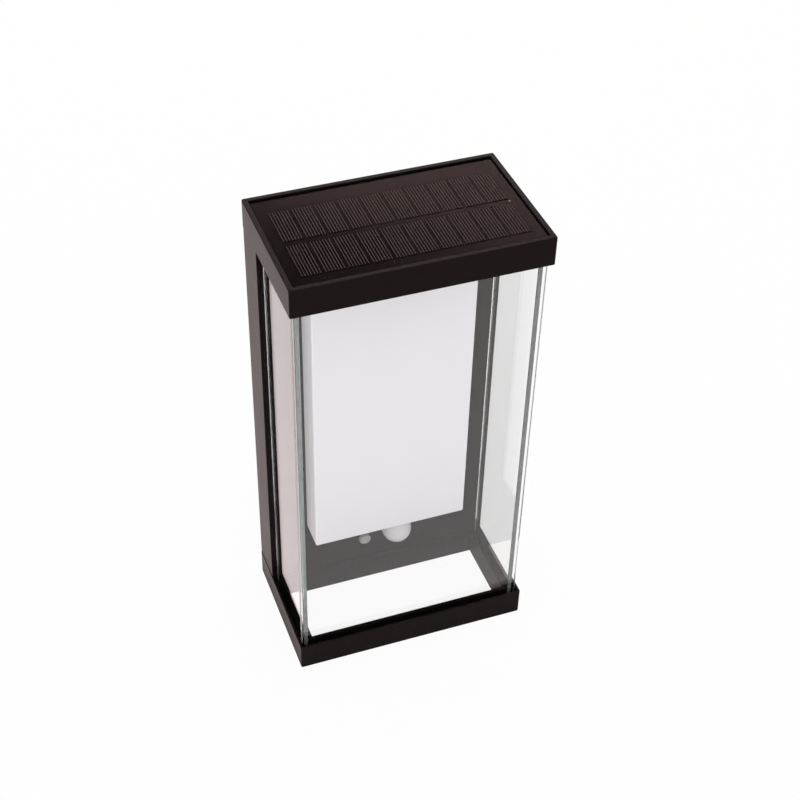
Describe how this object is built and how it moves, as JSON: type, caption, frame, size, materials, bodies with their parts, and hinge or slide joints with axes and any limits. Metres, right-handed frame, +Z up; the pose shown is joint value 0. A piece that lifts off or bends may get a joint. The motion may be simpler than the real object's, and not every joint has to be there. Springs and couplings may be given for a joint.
{
  "type": "solar wall light",
  "caption": "Box-shaped solar wall lantern: glass panes round an opal diffuser, a solar panel in the cap, a motion sensor and a push button; it hangs on a hooked wall bracket.",
  "frame": {"origin": "on the wall plane, midway between the bracket's two screw holes", "axes": "+Z up, +Y into the wall, +X to the light's right seen from its front; the light stands out along -Y"},
  "size_m": [0.15, 0.09, 0.298],
  "materials": {
    "coated_aluminium": "fine sand-textured black powder coat on aluminium",
    "bracket_steel": "zinc-plated sheet steel",
    "cover_plastic": "black moulded plastic, fine matt",
    "black_rubber": "matt black rubber",
    "solar_backing": "black laminate board",
    "solar_cell": "dark blue-black silicon with fine pale finger lines",
    "clear_film": "clear satin laminating film",
    "clear_glass": "clear flat glass with polished edges",
    "opal_plastic": "white opal diffusing plastic",
    "milky_lens": "milky translucent plastic",
    "white_board": "white circuit board",
    "led_package": "yellow phosphor in a white package",
    "green_board": "green circuit board",
    "sensor_can": "plated sensor can",
    "black_component": "black moulded plastic",
    "connector_plastic": "off-white connector plastic",
    "cell_sleeve": "plain blue shrink sleeve",
    "contact_metal": "nickel-plated spring steel",
    "lead_sheath": "black flexible lead sheath",
    "screw_steel": "zinc-plated steel"
  },
  "bodies": {
    "bracket": {"wall_bracket": "bracket_steel"},
    "light": {"battery_cell": "cell_sleeve", "battery_contacts": "contact_metal", "battery_holder": "black_component", "battery_holder_screws": "screw_steel", "battery_lead": "lead_sheath", "bottom_frame": "coated_aluminium", "button_seal": "black_rubber", "cap_screws": "screw_steel", "control_board": "green_board", "control_board_screws": "screw_steel", "control_components": "black_component", "cover_screws": "screw_steel", "diffuser": "opal_plastic", "diffuser_screws": "screw_steel", "frame_screws": "screw_steel", "front_glass": "clear_glass", "lead_connectors": "connector_plastic", "lead_grommet": "black_rubber", "led_board": "white_board", "led_board_screws": "screw_steel", "led_lead": "lead_sheath", "leds": "led_package", "left_glass": "clear_glass", "lower_gasket": "black_rubber", "pir_lens": "milky_lens", "pir_sensor": "sensor_can", "push_switch": "black_component", "rear_cover": "cover_plastic", "rear_cover_seal": "black_rubber", "rear_housing": "coated_aluminium", "right_glass": "clear_glass", "sensor_board": "green_board", "sensor_board_screws": "screw_steel", "sensor_lead": "lead_sheath", "solar_board": "solar_backing", "solar_cells": "solar_cell", "solar_film": "clear_film", "solar_lead": "lead_sheath", "solar_tape": "black_rubber", "top_cap": "coated_aluminium", "upper_gasket": "black_rubber"},
    "button": {"mode_button": "milky_lens", "switch_plunger": "black_component"}
  },
  "joints": [
    {"name": "lift_off", "type": "slide", "parent": "bracket", "child": "light", "axis": [0, 0, 1], "range_m": [0, 0.008]},
    {"name": "mode_press", "type": "slide", "parent": "light", "child": "button", "axis": [0, 1, 0], "range_m": [0, 0.001], "stiffness_N_per_m": 1200, "springref_m": -0.001}
  ]
}
